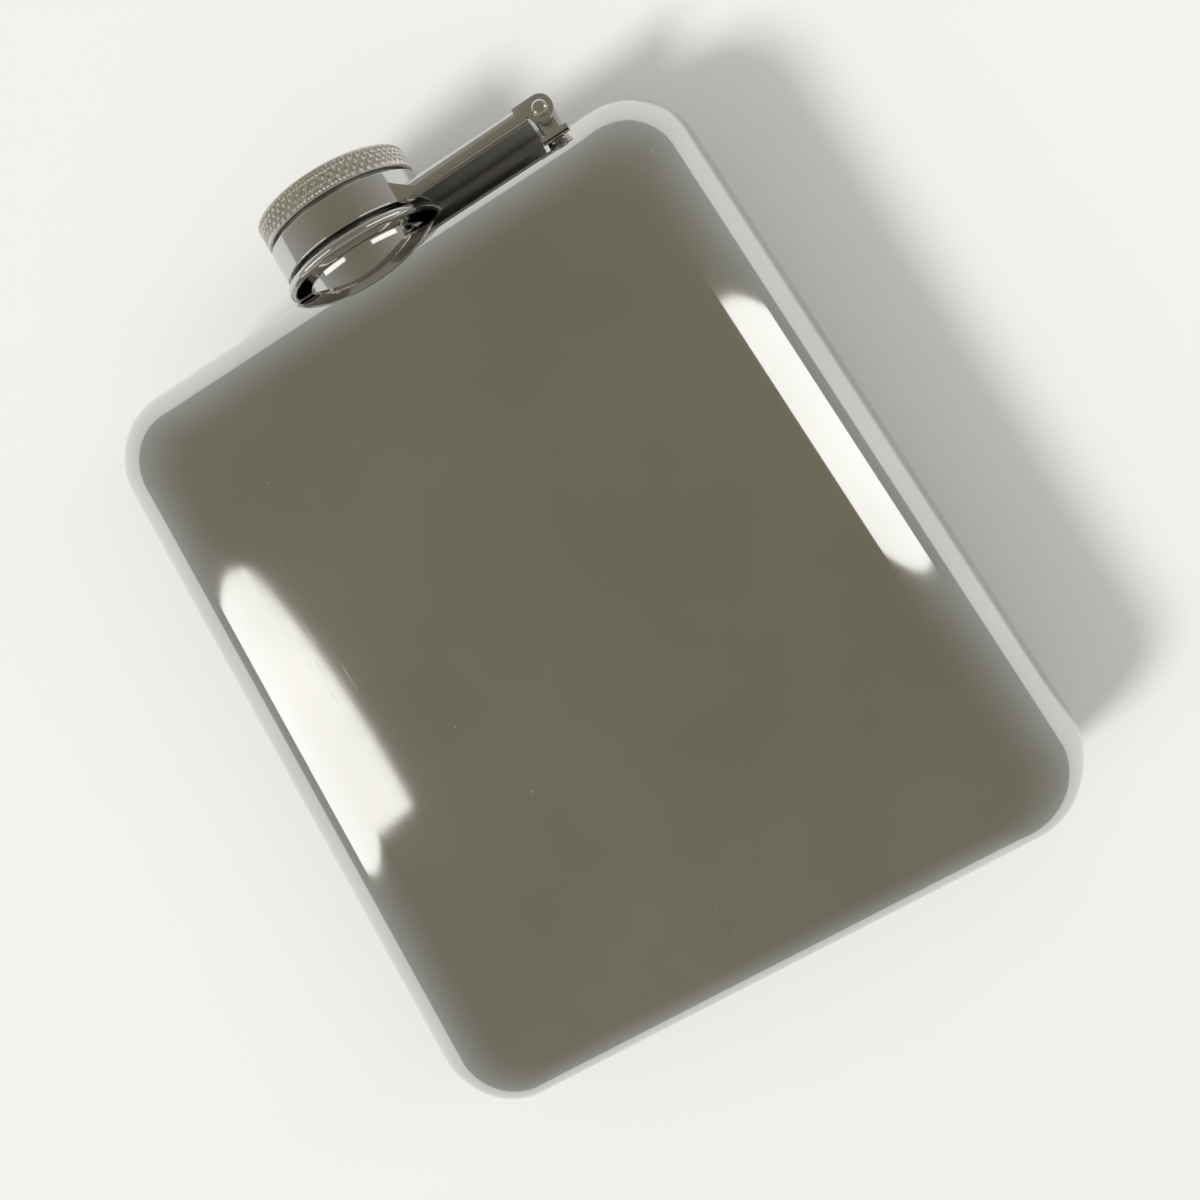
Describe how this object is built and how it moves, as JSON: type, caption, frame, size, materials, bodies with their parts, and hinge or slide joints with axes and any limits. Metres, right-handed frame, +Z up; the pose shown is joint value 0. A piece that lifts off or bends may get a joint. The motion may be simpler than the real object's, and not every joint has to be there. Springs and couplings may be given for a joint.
{
  "type": "hip flask",
  "caption": "Tapered steel hip flask with rounded sides, lying on its back, with a knurled screw cap held in a collar on a hinged arm.",
  "frame": {"origin": "on the table, under the middle of the whole flask lying on its back", "axes": "+X across the flask towards the arm's hinge, +Y from the flask's foot towards its cap, +Z up out of its front face"},
  "size_m": [0.094, 0.1134, 0.024],
  "materials": {
    "polished_steel": "mirror-polished stainless steel with faint wipe marks",
    "knurled_steel": "satin knurled stainless steel",
    "turned_steel": "turned stainless steel",
    "spring_steel": "spring steel wire",
    "liner": "food-safe white plastic"
  },
  "bodies": {
    "flask": {"front_shell": "polished_steel", "back_shell": "polished_steel", "neck": "polished_steel", "hinge_bracket": "polished_steel", "hinge_pin": "polished_steel"},
    "arm": {"arm": "polished_steel", "collar": "polished_steel"},
    "retainer": {"snap_ring": "spring_steel"},
    "cap": {"cap_head": "knurled_steel", "cap_sleeve": "turned_steel", "cap_liner": "liner"}
  },
  "joints": [
    {"name": "arm_swing", "type": "hinge", "parent": "flask", "child": "arm", "pos_m": [0.028, 0.04895, 0.012], "axis": [0, 0, -1], "range_deg": [0, 150]},
    {"name": "cap_rise", "type": "slide", "parent": "arm", "child": "retainer", "axis": [0, 1, 0], "range_m": [0, 0.00242]},
    {"name": "cap_turn", "type": "hinge", "parent": "retainer", "child": "cap", "pos_m": [0, 0.05425, 0.012], "axis": [0, 1, 0], "range_deg": [0, 432]}
  ],
  "couplings": [
    {"joint": "cap_rise", "follows": "cap_turn", "m_per_rad": 0.00031831}
  ]
}
